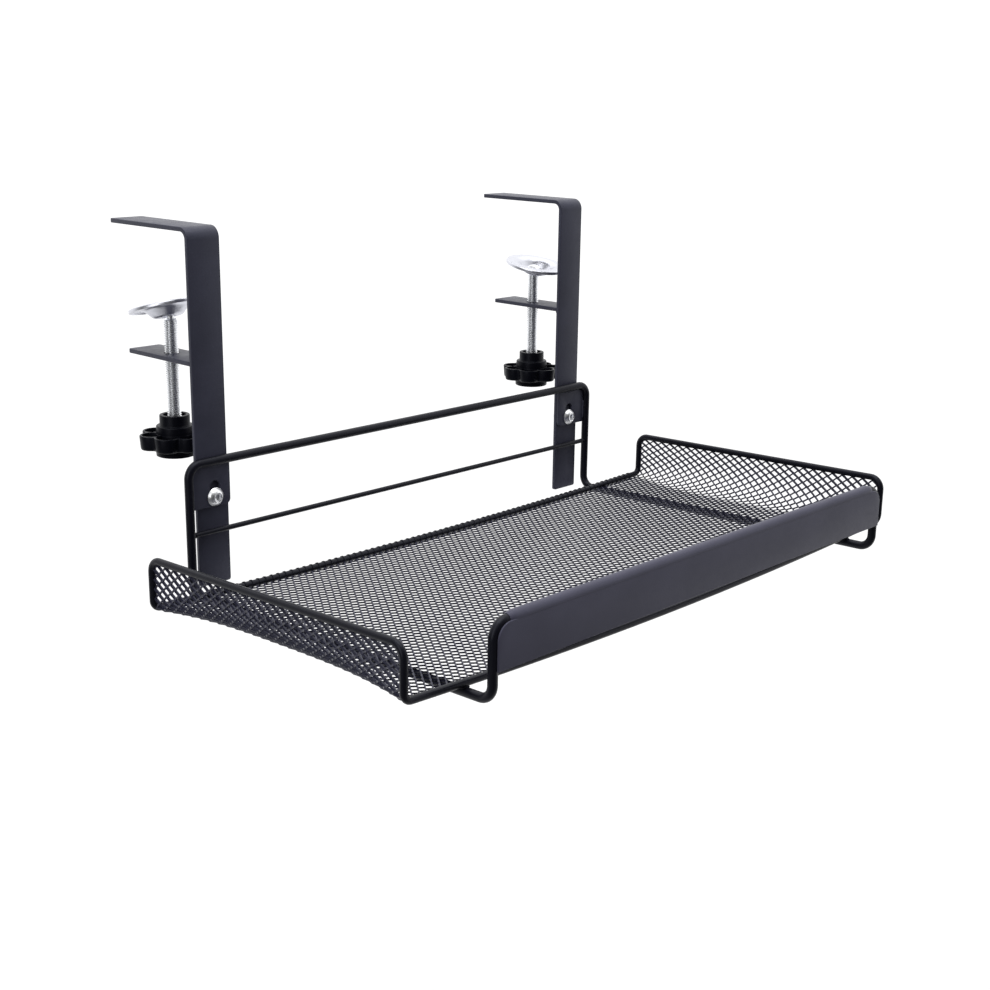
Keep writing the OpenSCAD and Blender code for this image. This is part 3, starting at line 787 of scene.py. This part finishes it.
class TRAY_OT_clamp_screws(TrayOperator, bpy.types.Operator):
    """Threaded clamp screws and the rivets on their ends."""

    bl_idname = "cable_tray.clamp_screws"
    bl_label = "Clamp screws"

    def execute(self, context):
        top, groove_r, tip = -0.9, (SCREW_R + SCREW_ROOT - 0.2) / 2, 2.7
        screw = threaded(SCREW_R, SCREW_ROOT, sizes().clamp_pitch * 1000, -SCREW_LEN, top, 32, tip)
        for side, sign in SIDES:
            part = moved(screw, at(sign * CLAMP_X, SCREW_Y, SEAT_Z))
            axis = Vector((sign * CLAMP_X, SCREW_Y, 0))

            # Faces in the thread's roots take the darker zinc, painted shade in the grooves
            def deep(c, axis=axis):
                return (c.xy - axis.xy).length < groove_r and c.z < SEAT_Z - 1.5

            root_shade = finished("groove_finish"), deep
            node, body = f"{side}_clamp_screw", f"{side}_handscrew"
            add_piece(f"{side}_threaded_rod", part, finished("zinc_finish"), body, [node], 50, root_shade)
            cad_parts[f"{side}_pad_rivet"].material_slots[0].material = finished("zinc_finish")
        return {"FINISHED"}


def spun(outline, angle):
    """A flat outline turned about the origin."""
    c, s = math.cos(angle), math.sin(angle)
    return [(x * c - y * s, x * s + y * c) for x, y in outline]


def lobes_outline():
    """Seven round lobes with a small hollow between each two."""
    lobe_r, scoop_r = 7.0, 1.5
    half = math.pi / LOBES
    reach = lobe_r + scoop_r
    scoop_at = LOBE_AT * math.cos(half) + math.sqrt(reach**2 - (LOBE_AT * math.sin(half)) ** 2)
    scoop = Vector((scoop_at * math.cos(half), scoop_at * math.sin(half)))
    alpha = math.degrees(math.atan2(scoop.y, scoop.x - LOBE_AT))
    one = arc(LOBE_AT, 0, lobe_r, -alpha, alpha, 16)
    one += arc(scoop.x, scoop.y, scoop_r, alpha + 180, 180 + math.degrees(2 * half) - alpha, 7)[1:-1]
    return [p for i in range(LOBES) for p in spun(one, 2 * half * i)]


def pocket_outline(i):
    """Pocket of lobe i, clockwise, ending at the ring."""
    r, ring = 5.6, 10.7
    x = (ring**2 - r**2 + LOBE_AT**2) / (2 * LOBE_AT)
    y = math.sqrt(ring**2 - x**2)
    far, near = math.degrees(math.atan2(y, x - LOBE_AT)), math.degrees(math.atan2(y, x))
    pts = arc(LOBE_AT, 0, r, far, -far, 20) + arc(0, 0, ring, -near, near, 6)[1:-1]
    return spun(pts, 2 * math.pi * i / LOBES)


def star_knob():
    """Moulded star knob, from its foot at height 0."""
    outside = [(4.7, 1.6), (4.85, 0.95), (5.3, 0.6), (6.2, 0.45), (12.3, 0.0)]
    outside += [(12.75, 0.1), (12.95, 0.3), (13.0, 0.5)]
    inside = [(6.8, -0.35), (7.4, -0.2), (12.4, 0.0), (12.8, 0.06), (12.95, 0.16), (13.0, 0.28)]
    pockets = [(pocket_outline(i), inside) for i in range(LOBES)]
    points, faces, feet, tops = walls([(lobes_outline(), outside)] + pockets)
    faces += filled(points, tops) + feet
    foot = [(0, 0.35), (6.0, 0.35), (6.6, 0), (10.6, 0), (11.0, 0.25), (11.1, 2.0), (10.9, 2.2)]
    foot += [(11.25, 2.45), (11.6, 4.7)]
    hub = [(10.6, 12), (10.6, 17.5), (8.5, 17.5), (8.5, 23.5), (6.3, 23.5), (6.3, 17.6), (3.0, 17.6)]
    hub = rounded(hub, [0, 0.9, 0.5, 0.5, 0.4, 0.4, 0], 5)
    return joined((points, faces), lathe(foot, 72), lathe(hub, 72))


class TRAY_OT_knobs(TrayOperator, bpy.types.Operator):
    """Star knobs with cored lobes."""

    bl_idname = "cable_tray.knobs"
    bl_label = "Knobs"

    def execute(self, context):
        knob = moved(star_knob(), turned(KNOB_TURN, "Z"))
        material, body = finished("knob_finish"), "{}_handscrew"
        add_pair("{}_star_knob", knob, material, body, "{}_knob", SCREW_Y, KNOB_FOOT_Z, 42)
        return {"FINISHED"}


class TRAY_OT_pads(TrayOperator, bpy.types.Operator):
    """Pressed pads, tilted as they hang on their rivets."""

    bl_idname = "cable_tray.pads"
    bl_label = "Pads"

    def execute(self, context):
        under = [(4.3, 0), (8, 0), (13.5, 6), (19.6, 5.9), (20.1, 5), (21, 5)]
        over = [(21, 7.2), (12.95, 7.2), (7.45, 1.2), (4.3, 1.2)]
        dish = lathe(rounded(under + over, [0.3, 4, 6, 0.4, 0.4, 0.4, 0.9, 7, 2.8, 0.3], 8, True), 96, True)
        for side, sign in SIDES:
            tilt = PAD_TILT[side]
            slip = at(0, 1.5 if tilt < 0 else -1.5, 0)
            part = moved(dish, at(sign * CLAMP_X, SCREW_Y, SEAT_Z) @ turned(tilt, "X") @ slip)
            node, body = f"{side}_pad", f"{side}_pad_body"
            add_piece(f"{side}_dish", part, finished("pad_finish"), body, [node], 50)
        return {"FINISHED"}


def hexagon(width, steps=48):
    """Points of a hexagon by its width across flats, at even angles."""
    out = []
    for k in range(steps):
        a = 2 * math.pi * k / steps
        r = width / 2 / math.cos((a + math.pi / 6) % (math.pi / 3) - math.pi / 6)
        out.append((r * math.cos(a), r * math.sin(a)))
    return out


def stack(loops):
    """Loops of (points, height) with equal counts, joined and closed at both ends."""
    points = [(x, y, z) for loop, z in loops for x, y in loop]
    n = len(loops[0][0])
    faces = grid_faces(len(loops), n, closed_cols=True)
    return points, faces + [list(range(n)), list(range(len(points) - n, len(points)))]


def button_head():
    """Button head with a hexagon socket, standing on Z = 0."""
    dome = HEAD_R**2 / (2 * HEAD_H) + HEAD_H / 2
    loops = [(circle(HEAD_R - 0.35), 0), (circle(HEAD_R - 0.1), 0.08), (circle(HEAD_R), 0.3)]
    for z in (0.7, 1.2, 1.7, 2.2, 2.6, 2.85):
        loops.append((circle(math.sqrt(dome**2 - (z + dome - HEAD_H) ** 2)), z))
    loops += [(circle(2.7), 2.95), (circle(2.45), 2.92), (hexagon(4.1), 2.75), (hexagon(4.0), 2.6)]
    loops += [(hexagon(3.98), 1.3), (hexagon(3.4), 1.15), (circle(0.4), 1.0)]
    return stack(loops)


def hex_nut():
    """Nut with chamfered corners, from Z = 0 to 5."""
    full = hexagon(10)
    loops = [(circle(3.2), 0.5), (circle(3.35), 0.0)]
    for z, r in ((0, 4.85), (0.25, 5.15), (0.55, 5.5), (0.9, 6), (4.1, 6), (4.45, 5.5), (4.75, 5.15), (5, 4.85)):
        shares = [min(1, r / math.hypot(x, y)) for x, y in full]
        loops.append(([(x * share, y * share) for (x, y), share in zip(full, shares)], z))
    loops += [(circle(3.35), 5.0), (circle(3.0), 4.6)]
    return stack(loops)


class TRAY_OT_slot_screws(TrayOperator, bpy.types.Operator):
    """Button head screws and nuts of the slotted tabs."""

    bl_idname = "cable_tray.slot_screws"
    bl_label = "Slot screws"

    def execute(self, context):
        shank = threaded(2.95, 2.45, sizes().slot_pitch * 1000, HEAD_Y - 6.5, 0, 24)
        screw = moved(joined(button_head(), shank), turned(90, "X"))
        nut = moved(hex_nut(), turned(-90, "X"))
        zinc = finished("zinc_finish")
        for side, sign in SIDES:
            part = moved(screw, at(sign * CLAMP_X, HEAD_Y, SLOT_Z))
            add_piece(f"{side}_button_screw", part, zinc, "brackets", [f"{side}_slot_screw"], 40)
            part = moved(nut, at(sign * CLAMP_X, 0, SLOT_Z))
            add_piece(f"{side}_hex_nut", part, zinc, "brackets", [f"{side}_slot_nut"], 30)
        return {"FINISHED"}


class TRAY_OT_tabs(TrayOperator, bpy.types.Operator):
    """Slotted tabs in the cradle's upper corners."""

    bl_idname = "cable_tray.tabs"
    bl_label = "Slot tabs"

    def execute(self, context):
        inner, outer, top = CLAMP_X - BAR_W / 2, CRADLE_X, RAIL_Z
        outline = arc(inner + TAB_CORNER, -TAB_DROP + TAB_CORNER, TAB_CORNER, 180, 270, 6)
        outline += [(outer - CRADLE_BEND, -TAB_DROP), (outer, -TAB_DROP)]
        outline += arc(outer - CRADLE_BEND, top - CRADLE_BEND, CRADLE_BEND, 0, 90, 8) + [(inner, top)]
        slot = arc(CLAMP_X, SLOT_Z, SLOT_R, 0, -180, 14) + arc(CLAMP_X, SLOT_Z + SLOT_TRAVEL, SLOT_R, 180, 0, 14)
        plate = slab(outline, [slot], edge_levels(0, TAB_T, SHEET_EDGE))
        x, y, z, r = outer - 2.6, top - 2.6, TAB_T + 0.1, 0.75
        bead = joined(
            weld_bead((x, -TAB_DROP + 3, z), (x, -TAB_DROP + 15, z), r, 1.0),
            weld_bead((inner + 6, y, z), (inner + 16, y, z), r, 7.0),
        )
        stand = at(0, TAB_REAR_Y, 0) @ turned(90, "X")
        for side, sign in SIDES:
            part = moved(moved(joined(plate, bead), stand), Matrix.Scale(sign, 4, (1, 0, 0)))
            add_piece(f"{side}_tab", part, finished("bar_finish"), "tray", [f"{side}_slot_tab"])
        return {"FINISHED"}


def cradle_corners():
    """Corners and bend radii of the cradle's closed wire."""
    x, rear, front = CRADLE_X, run_z(UPRIGHT_Y), run_z(LEG_Y)
    points = [
        (-x, UPRIGHT_Y, RAIL_Z), (0, UPRIGHT_Y, RAIL_Z), (x, UPRIGHT_Y, RAIL_Z),
        (x, UPRIGHT_Y, rear), (x, LEG_Y, front),
        (x, LEG_Y, LIP_Z), (-x, LEG_Y, LIP_Z),
        (-x, LEG_Y, front), (-x, UPRIGHT_Y, rear),
    ]
    bend = CRADLE_BEND
    return points, [bend, 0, bend, bend, bend, LIP_BEND, LIP_BEND, bend, bend]


def weld_spot(place, size, seed):
    """Small lump of weld about a point."""
    angles = [math.pi * i / 8 for i in range(9)]
    points, faces = lathe([(math.sin(a), -math.cos(a)) for a in angles], 14)
    out = []
    for p in points:
        v = Vector(p)
        grow = 1 + 0.22 * noise.noise(v * 1.7 + Vector((seed, 0, seed)))
        out.append(tuple(v * Vector(size) * grow + Vector(place)))
    return out, faces


class TRAY_OT_wires(TrayOperator, bpy.types.Operator):
    """Cradle wire, middle wire and the welds between them."""

    bl_idname = "cable_tray.wires"
    bl_label = "Wires"

    def execute(self, context):
        points, radii = cradle_corners()
        cradle = tube(rounded(points, radii, 14, True), CRADLE_R, 24, True)
        add_piece("cradle_loop", cradle, finished("wire_finish"), "tray", ["cradle_wire"], 60)
        rod = [(x, UPRIGHT_Y, MIDDLE_Z) for x in (1.2 - CRADLE_X, 0, CRADLE_X - 1.2)]
        spots = [weld_spot((s * (CRADLE_X - 2.6), UPRIGHT_Y, MIDDLE_Z), (1.1, 1.75, 1.75), s) for s in (-1, 1)]
        part = joined(tube(rod, 1.5, 18), *spots)
        add_piece("middle_rod", part, finished("wire_finish"), "tray", ["middle_wire"], 60)
        return {"FINISHED"}


def rim_corners():
    """Corners and bend radii of the tray's rim, with the hanging floor wires as arcs."""
    path = []
    for sign, start, end in ((-1, REAR_Y, FRONT_Y), (1, FRONT_Y, REAR_Y)):
        foot, top = (0, RIM_FOOT), (WALL_H, RIM_TOP)
        for y, (rise, r) in ((start, foot), (start, top), (end, top), (end, foot)):
            path.append(((sign * RIM_X, y, rim_z(y) + rise), r))
        for k in range(1, 48):
            x = sign * RIM_X * (1 - 2 * k / 48)
            if abs(x) < RIM_X - 8:
                path.append(((x, end, rim_z(end) - hang(x, sag_at(end))), 0))
    return zip(*path)


class TRAY_OT_rim(TrayOperator, bpy.types.Operator):
    """Rim wire of the tray, with the spots where it is welded to the cradle."""

    bl_idname = "cable_tray.rim"
    bl_label = "Rim wire"

    def execute(self, context):
        points, radii = rim_corners()
        rim = tube(rounded(points, radii, 10, True), RIM_R, 20, True)
        spots = []
        for i, y in enumerate((REAR_Y, REAR_Y, FRONT_Y, FRONT_Y)):
            place = (CRADLE_X if i % 2 else -CRADLE_X, y, run_z(y) + CRADLE_R)
            spots.append(weld_spot(place, (2.3, 2.1, 0.9), i * 2.3))
        part = joined(rim, *spots)
        add_piece("rim_loop", part, finished("wire_finish"), "tray", ["tray_rim"], 60)
        return {"FINISHED"}


def mesh_counts():
    """Half pitches of the mesh across and from front to rear."""
    across = 2 * (RIM_X + WALL_H - SHEET_TOP_GAP) - (4 - math.pi) * SHEET_BEND
    deep = REAR_Y - FRONT_Y - 2 * SHEET_SIDE_GAP
    cols = 2 * round(across / (sizes().mesh_short * 1000))
    rows = 2 * round(deep / (sizes().mesh_long * 1000))
    return cols, rows, across / cols, deep / rows


def expanded_mesh():
    """Expanded metal: a strand on each side of every gap, with twisted crossings."""
    cols, rows, a, b = mesh_counts()
    share = sizes().strand * 1000 / 2 * math.hypot(a, b) / (a * b)
    lift = sizes().strand_lift * 1000
    tips = ((1 - share, 0, lift), (0, 1 - share * 1.5, 0), (share - 1, 0, -lift), (0, share * 1.5 - 1, 0))
    points, first = [], {}
    for i in range(cols + 1):
        for j in range(i % 2, rows + 1, 2):
            first[i, j] = len(points)
            for half in (0.45, -0.45):
                for dx, dy, up in tips:
                    s = max(0, min(cols, i + dx)) / cols
                    t = max(0, min(rows, j + dy)) / rows
                    s += MESH_LEAN * (t - 0.5) * (1 - abs(2 * s - 1) ** 3)
                    points.append(sheet_point(s, t, half + up))

    def pair(i, j, k):
        n = first[i, j] + k
        return n, n + 4

    faces = []

    def layers(*p):
        faces.append([q[0] for q in p])
        faces.append([q[1] for q in p][::-1])

    def wall(p, q):
        faces.append([p[0], q[0], q[1], p[1]])

    for i in range(cols + 1):
        for j in range(rows + 1):
            right, back, left, front = i < cols, j < rows, i > 0, j > 0
            if (i + j) % 2 == 0:
                p = [pair(i, j, k) for k in range(4)]
                for k, used in enumerate((right and back, left and back, left and front, right and front)):
                    if used:
                        wall(p[(k + 1) % 4], p[k])
                if right and back:
                    layers(p[0], p[1], pair(i + 1, j + 1, 2), pair(i + 1, j + 1, 3))
                if right and front:
                    layers(p[3], p[0], pair(i + 1, j - 1, 1), pair(i + 1, j - 1, 2))
                continue
            near = ((left, -1, 0, 0), (back, 0, 1, 3), (right, 1, 0, 2), (front, 0, -1, 1))
            ring = [pair(i + di, j + dj, k) for used, di, dj, k in near if used]
            layers(*ring)
            if len(ring) == 3:
                gap = 2 if not left else 0 if not back else 1 if not right else 2
                wall(ring[(gap + 1) % 3], ring[gap])
    return points, faces


def wrap(centre, along, seed):
    """Strand end bent round the rear floor wire: centre on the wire and along its run."""
    c, u, v = Vector(centre), Vector(along).normalized(), Vector((0, 1, 0))
    w = u.cross(v)
    n = 14
    r0 = RIM_R + 0.02
    lean = 0.7 * noise.noise(Vector((seed * 1.37, 2.0, 0.0)))
    thick = 0.42 + 0.1 * noise.noise(Vector((seed * 0.73, 5.0, 0.0)))
    points = []
    for k in range(n + 1):
        a = math.radians(-165 + 330 * k / n)
        d = v * math.cos(a) + w * math.sin(a)
        shift = u * (lean * (k / n - 0.5) * 2)
        half = 0.75 * (0.75 + 0.25 * math.sin(math.pi * k / n))
        for du, dr in ((-half, 0), (-half * 0.6, thick), (half * 0.6, thick), (half, 0)):
            points.append(tuple(c + shift + u * du + d * (r0 + dr)))
    faces = grid_faces(n + 1, 4)
    faces += [[0, 1, 2, 3], [4 * n + 3, 4 * n + 2, 4 * n + 1, 4 * n]]
    return points, faces


def edge_wraps():
    """Strand ends round the rear floor wire, at the crossings of the sheet's rear edge away from the end walls."""
    cols, rows = mesh_counts()[:2]
    parts = []
    for i in range(1, cols, 2):
        x, y, z = sheet_point(i / cols, 1, 0)
        if abs(x) > RIM_X - 2 * RIM_FOOT:
            continue
        centre = (x, REAR_Y, rim_z(REAR_Y) - hang(x, sag_at(REAR_Y)))
        ahead = Vector(sheet_point(i / cols + 0.5 / cols, 1, 0))
        parts.append(wrap(centre, ahead - Vector((x, y, z)), i + 300 * rows))
    return joined(*parts)


class TRAY_OT_mesh(TrayOperator, bpy.types.Operator):
    """Expanded metal sheet and its strand ends round the rim."""

    bl_idname = "cable_tray.mesh"
    bl_label = "Mesh"

    def execute(self, context):
        sheet, ends = expanded_mesh(), edge_wraps()
        add_piece("expanded_sheet", sheet, finished("mesh_finish"), "tray", ["tray_mesh"], 25)
        add_piece("strand_ends", ends, finished("wire_finish"), "tray", (), 50)
        return {"FINISHED"}


class TRAY_OT_lip(TrayOperator, bpy.types.Operator):
    """Painted lip, rolled over the lip wire."""

    bl_idname = "cable_tray.lip"
    bl_label = "Lip panel"

    def execute(self, context):
        half, r = CRADLE_X - LIP_BEND, CRADLE_R + 0.05
        outline = [(-CRADLE_X, PANEL_Z), (0, PANEL_Z), (CRADLE_X, PANEL_Z)]
        for x, start in ((half, 0), (-half, 90)):
            outline += arc(x, LIP_Z - LIP_BEND, LIP_BEND, start, start + 90, 10)
        plate = slab(outline, [], edge_levels(0, PANEL_T, SHEET_EDGE))
        plate = moved(plate, at(0, LEG_Y - r, 0) @ turned(90, "X"))
        taper, lap = (0, 0.4, 1.2, 2.6, 4.5), 0.4
        xs = [half * k / 12 for k in range(-11, 12)]
        xs = [-half + d for d in taper] + xs + [half - d for d in taper[::-1]]
        points = []
        for x in xs:
            thick = 0.12 + 0.88 * math.sin(math.pi / 2 * min(1, (half - abs(x)) / taper[-1]))
            section = arc(0, 0, r + thick, 0, 180, 24) + [(-r - PANEL_T, -lap)]
            section += [(-r, -lap)] + arc(0, 0, r, 180, 0, 24)
            points += [(x, LEG_Y + y, LIP_Z + z) for y, z in section]
        n = len(section)
        faces = grid_faces(len(xs), n, closed_cols=True)
        faces += [list(range(n)), list(range(len(points) - n, len(points)))]
        part = joined(plate, (points, faces))
        add_piece("lip_sheet", part, finished("lip_finish"), "tray", ["lip_panel"], 40)
        return {"FINISHED"}


def pale_floor():
    """Pale material that fades out round the part."""
    material, tree, shader = new_material("pale_floor")
    place = tree.nodes.new("ShaderNodeTexCoord").outputs["Object"]
    cloud = ramp(tree, noise_at(tree, place, 3.0), 0.3, 0.7)
    wire_up(tree, mixed(tree, cloud, (0.96, 0.96, 0.96, 1), (0.98, 0.98, 0.98, 1)), shader.inputs["Base Color"])
    shader.inputs["Roughness"].default_value = 0.9
    reach = tree.nodes.new("ShaderNodeVectorMath")
    reach.operation = "LENGTH"
    wire_up(tree, place, reach.inputs[0])
    wire_up(tree, ramp(tree, reach.outputs["Value"], 0.22, 0.65, 1.0, 0.0), shader.inputs["Alpha"])
    return material


def soft_light(name, place, size, power):
    """Area light that the camera doesn't see."""
    data = bpy.data.lights.new(name, "AREA")
    data.shape = "RECTANGLE"
    data.size, data.size_y = size
    data.energy = power
    lamp = bpy.data.objects.new(name, data)
    lamp.location = place
    lamp.rotation_euler = (Vector(LIGHT_AIM) - Vector(place)).to_track_quat("-Z", "Y").to_euler()
    lamp.visible_camera = False
    bpy.context.scene.collection.objects.link(lamp)


def studio_world():
    """White for the camera. The part sees a bright far side, a soft top and a dim near side."""
    world = bpy.data.worlds.new("studio")
    world.use_nodes = True
    tree = world.node_tree
    seen = tree.nodes.new("ShaderNodeLightPath").outputs["Is Camera Ray"]
    direction = tree.nodes.new("ShaderNodeTexCoord").outputs["Generated"]
    ahead = tree.nodes.new("ShaderNodeVectorMath")
    ahead.operation = "DOT_PRODUCT"
    ahead.inputs[1].default_value = FAR_SIDE
    wire_up(tree, direction, ahead.inputs[0])
    parts = tree.nodes.new("ShaderNodeSeparateXYZ")
    wire_up(tree, direction, parts.inputs[0])
    height = parts.outputs["Z"]
    level = ramp(tree, ahead.outputs["Value"], -0.3, 0.35, 0.07, 1.15)
    level = maths(tree, "MULTIPLY", level, ramp(tree, height, -0.6, -0.1, 0.7, 1.0))
    above = ramp(tree, height, 0.45, 0.85, 0.0, 0.8)
    below = ramp(tree, height, -0.45, -0.1, 0.15, 0.0)
    around = maths(tree, "ADD", maths(tree, "ADD", level, above), below)
    background = tree.nodes["Background"]
    background.inputs["Color"].default_value = (1, 1, 1, 1)
    wire_up(tree, maths(tree, "MAXIMUM", seen, around), background.inputs["Strength"])
    return world


class TRAY_OT_stage(TrayOperator, bpy.types.Operator):
    """Floor, light and camera."""

    bl_idname = "cable_tray.stage"
    bl_label = "Stage"

    def execute(self, context):
        mesh = bpy.data.meshes.new("floor")
        z = CAD_BOX[0][2] - FLOOR_DROP
        corners = [(x * FLOOR_HALF, y * FLOOR_HALF, z) for x, y in ((-1, -1), (1, -1), (1, 1), (-1, 1))]
        mesh.from_pydata(corners, [], [(0, 1, 2, 3)])
        mesh.materials.append(pale_floor())
        floor = bpy.data.objects.new("floor", mesh)
        context.scene.collection.objects.link(floor)
        context.scene.world = studio_world()
        context.scene.view_settings.view_transform = "Standard"
        for light in LIGHTS:
            soft_light(*light)
        self.add_camera(context)
        return {"FINISHED"}

    def add_camera(self, context):
        data = bpy.data.cameras.new("camera")
        data.sensor_width = SENSOR_MM
        data.lens = FOCAL_SHARE * SENSOR_MM
        data.clip_start = 0.01
        camera = bpy.data.objects.new("camera", data)
        yaw, pitch, roll = CAMERA_ANGLES
        camera.matrix_world = at(*CAMERA_AT) @ turned(-yaw, "Z") @ turned(90 + pitch, "X") @ turned(roll, "Z")
        context.scene.collection.objects.link(camera)
        context.scene.camera = camera


OPERATORS = (
    TRAY_OT_brackets, TRAY_OT_plates, TRAY_OT_clamp_screws, TRAY_OT_knobs, TRAY_OT_pads,
    TRAY_OT_slot_screws, TRAY_OT_tabs, TRAY_OT_wires, TRAY_OT_rim, TRAY_OT_mesh,
    TRAY_OT_lip, TRAY_OT_stage,
)


class TRAY_PT_panel(bpy.types.Panel):
    """Sizes, colours and pieces of the cable tray."""

    bl_label = "Cable tray"
    bl_idname = "TRAY_PT_panel"
    bl_space_type = "VIEW_3D"
    bl_region_type = "UI"
    bl_category = "Cable tray"

    def draw(self, context):
        for group in (context.scene.tray_sizes, context.scene.tray_finish):
            for label in group.__annotations__:
                self.layout.prop(group, label)
        for operator in OPERATORS:
            self.layout.operator(operator.bl_idname)


CLASSES = (TraySizes, TrayFinish, *OPERATORS, TRAY_PT_panel)


def register():
    for cls in CLASSES:
        bpy.utils.register_class(cls)
    bpy.types.Scene.tray_sizes = bpy.props.PointerProperty(type=TraySizes)
    bpy.types.Scene.tray_finish = bpy.props.PointerProperty(type=TrayFinish)


def unregister():
    del bpy.types.Scene.tray_sizes
    del bpy.types.Scene.tray_finish
    for cls in reversed(CLASSES):
        bpy.utils.unregister_class(cls)


def main():
    register()
    for operator in OPERATORS:
        group, name = operator.bl_idname.split(".")
        getattr(getattr(bpy.ops, group), name)()


if __name__ == "__main__":
    main()
